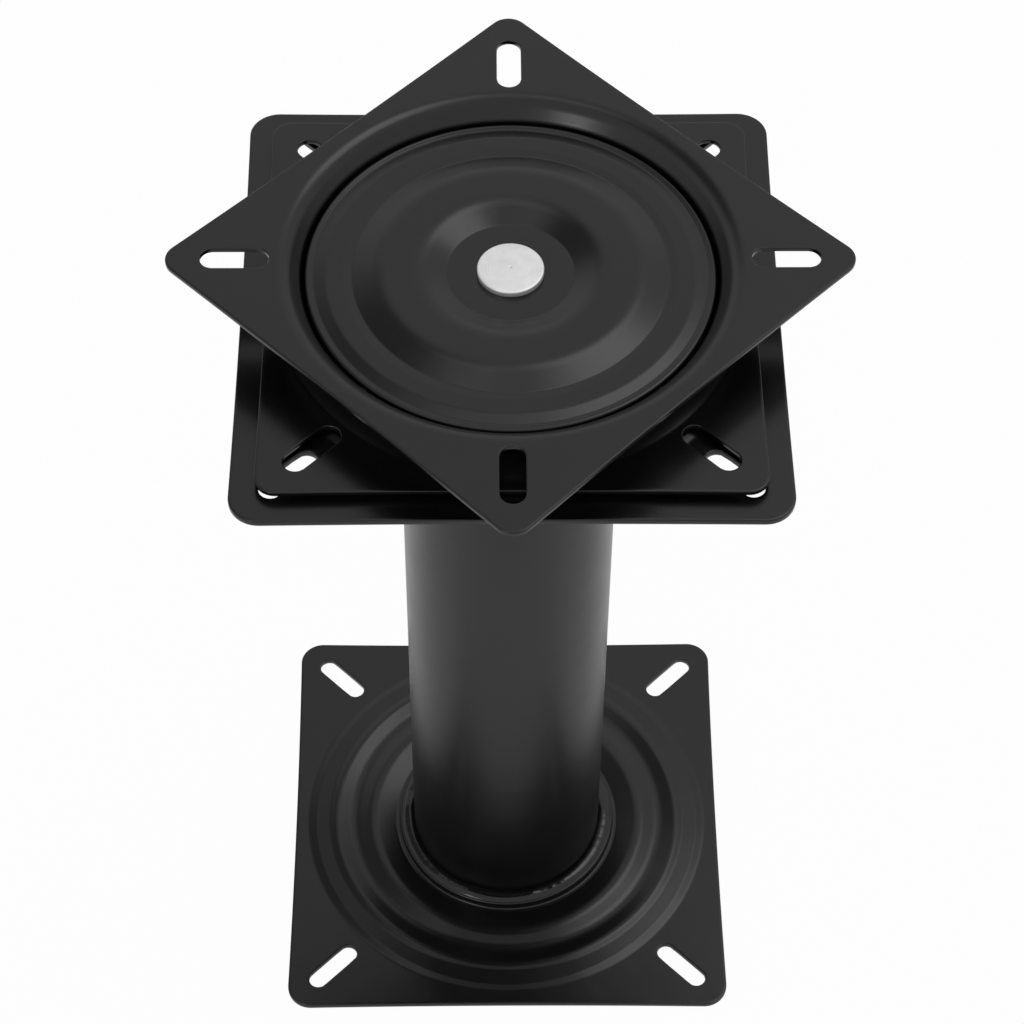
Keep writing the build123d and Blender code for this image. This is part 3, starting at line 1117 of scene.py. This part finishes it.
def add_world(context, studio):
    """Surroundings: white to the camera, and a soft sky in the object's gloss.

    The sky's strength is a smooth step of its direction's height, from the low share to one,
    plus what each place adds. A place adds its strength times a smooth step of the cosine
    between the direction and its own.
    """
    sky = Finish("studio", bpy.data.worlds)
    context.scene.world = sky.material
    smooth = {"interpolation_type": "SMOOTHSTEP"}
    direction = sky.node("ShaderNodeTexCoord", output="Generated")
    height = sky.node("ShaderNodeSeparateXYZ", None, {0: direction}, "Z")
    span = {"Value": height, "From Min": studio.horizon_low, "From Max": studio.horizon_high}
    rise = sky.node("ShaderNodeMapRange", smooth, {**span, "To Min": studio.low_share})
    for middle, inner, outer, added in sky_places:
        vectors = {0: direction, 1: Vector(middle).normalized()}
        near = sky.node("ShaderNodeVectorMath", {"operation": "DOT_PRODUCT"}, vectors, "Value")
        span = {"Value": near, "From Min": cos(radians(outer)), "From Max": cos(radians(inner))}
        rise = rise + sky.node("ShaderNodeMapRange", smooth, span) * added
    camera, glossy, through = light_paths(sky)
    strength = camera + through + glossy * rise * studio.gloss_sky
    strength = strength + (1.0 - camera - through - glossy) * studio.ambient
    background = sky.node("ShaderNodeBackground", None, {"Color": white, "Strength": strength})
    sky.node("ShaderNodeOutputWorld", None, {"Surface": background})


def light_paths(finish):
    """One for a camera ray, for a glossy ray and for a transmission ray."""
    kinds = ("Is Camera Ray", "Is Glossy Ray", "Is Transmission Ray")
    return [finish.node("ShaderNodeLightPath", output=kind) for kind in kinds]


def add_floor(context, studio):
    """A wide pale floor under the base, almost white to the camera, and with painted shade on the
    near floor in the object's gloss.
    """
    reach = floor_reach
    corners = [(-reach, -reach, 0), (reach, -reach, 0), (reach, reach, 0), (-reach, reach, 0)]
    mesh = bpy.data.meshes.new("floor")
    mesh.from_pydata(corners, [], [(0, 1, 2, 3)])
    floor = bpy.data.objects.new("floor", mesh)
    floor.location.z = -floor_gap
    context.scene.collection.objects.link(floor)
    finish = Finish("floor_white")
    diffuse = finish.node("ShaderNodeBsdfDiffuse", None, {"Color": (0.8, 0.8, 0.8, 1.0)})
    glow = finish.node("ShaderNodeEmission", None, {"Color": white, "Strength": 1.0})
    camera, glossy, through = light_paths(finish)
    # Painted shade: in the gloss the floor before the base is darker, standing in for the object's
    # shadow and the lamps lighting the back more, and it pales to white behind the base
    along = finish.node("ShaderNodeSeparateXYZ", None, {0: finish.place()}, "Y")
    near, far = floor_shade_span
    span = {"Value": along, "From Min": near, "From Max": far, "To Min": studio.near_floor_shade_white}
    painted_floor_shade = finish.node("ShaderNodeMapRange", {"interpolation_type": "SMOOTHSTEP"}, span)
    glow_share = (camera + through) * studio.floor_white + glossy * painted_floor_shade
    mixed = finish.node("ShaderNodeMixShader", None, {0: glow_share, 1: diffuse, 2: glow})
    finish.node("ShaderNodeOutputMaterial", None, {"Surface": mixed})
    mesh.materials.append(finish.material)


def add_lamp(context, name, place, width, height, power):
    """A soft box that faces the lamps' target."""
    data = bpy.data.lights.new(name, "AREA")
    data.shape = "RECTANGLE"
    data.size, data.size_y, data.energy = width, height, power
    lamp = bpy.data.objects.new(name, data)
    lamp.location = place
    facing = Vector(lamp_target) - Vector(place)
    lamp.rotation_euler = facing.to_track_quat("-Z", "Y").to_euler()
    context.scene.collection.objects.link(lamp)


class SEATBASE_PT_panel(bpy.types.Panel):
    """Lists the steps that build the seat base"""

    bl_idname = "SEATBASE_PT_panel"
    bl_label = "Seat Base"
    bl_space_type = "VIEW_3D"
    bl_region_type = "UI"
    bl_category = "Seat Base"

    def draw(self, context):
        settings = context.scene.seat_base
        for operator in operators:
            self.layout.operator(operator.bl_idname)
        for group in (settings.pedestal, settings.swivel, settings.paint, settings.studio):
            box = self.layout.box()
            for key in group.__annotations__:
                box.prop(group, key)


operators = (
    SEATBASE_OT_pedestal_plates,
    SEATBASE_OT_column,
    SEATBASE_OT_welds,
    SEATBASE_OT_swivel_plates,
    SEATBASE_OT_disc,
    SEATBASE_OT_rivet,
    SEATBASE_OT_bearing,
    SEATBASE_OT_stage,
)
settings_groups = (
    SquarePlateSettings,
    PedestalSettings,
    SwivelSettings,
    PaintSettings,
    StudioSettings,
    SeatBaseSettings,
)


def register():
    """Registers the settings, the operators and the panel."""
    for group in settings_groups + operators + (SEATBASE_PT_panel,):
        bpy.utils.register_class(group)
    bpy.types.Scene.seat_base = PointerProperty(type=SeatBaseSettings)


def unregister():
    """Removes what register added."""
    del bpy.types.Scene.seat_base
    for group in reversed(settings_groups + operators + (SEATBASE_PT_panel,)):
        bpy.utils.unregister_class(group)


def set_plate(plate, sizes):
    """Fills a plate's settings from sizes in millimetres."""
    for key, millimetres in sizes.items():
        setattr(plate, key, millimetres * MM)


def main():
    """Builds the whole scene."""
    register()
    pedestal = bpy.context.scene.seat_base.pedestal
    set_plate(pedestal.base, base_sizes)
    set_plate(pedestal.head, head_sizes)
    for operator in operators:
        group, name = operator.bl_idname.split(".")
        getattr(getattr(bpy.ops, group), name)()


if __name__ == "__main__":
    main()
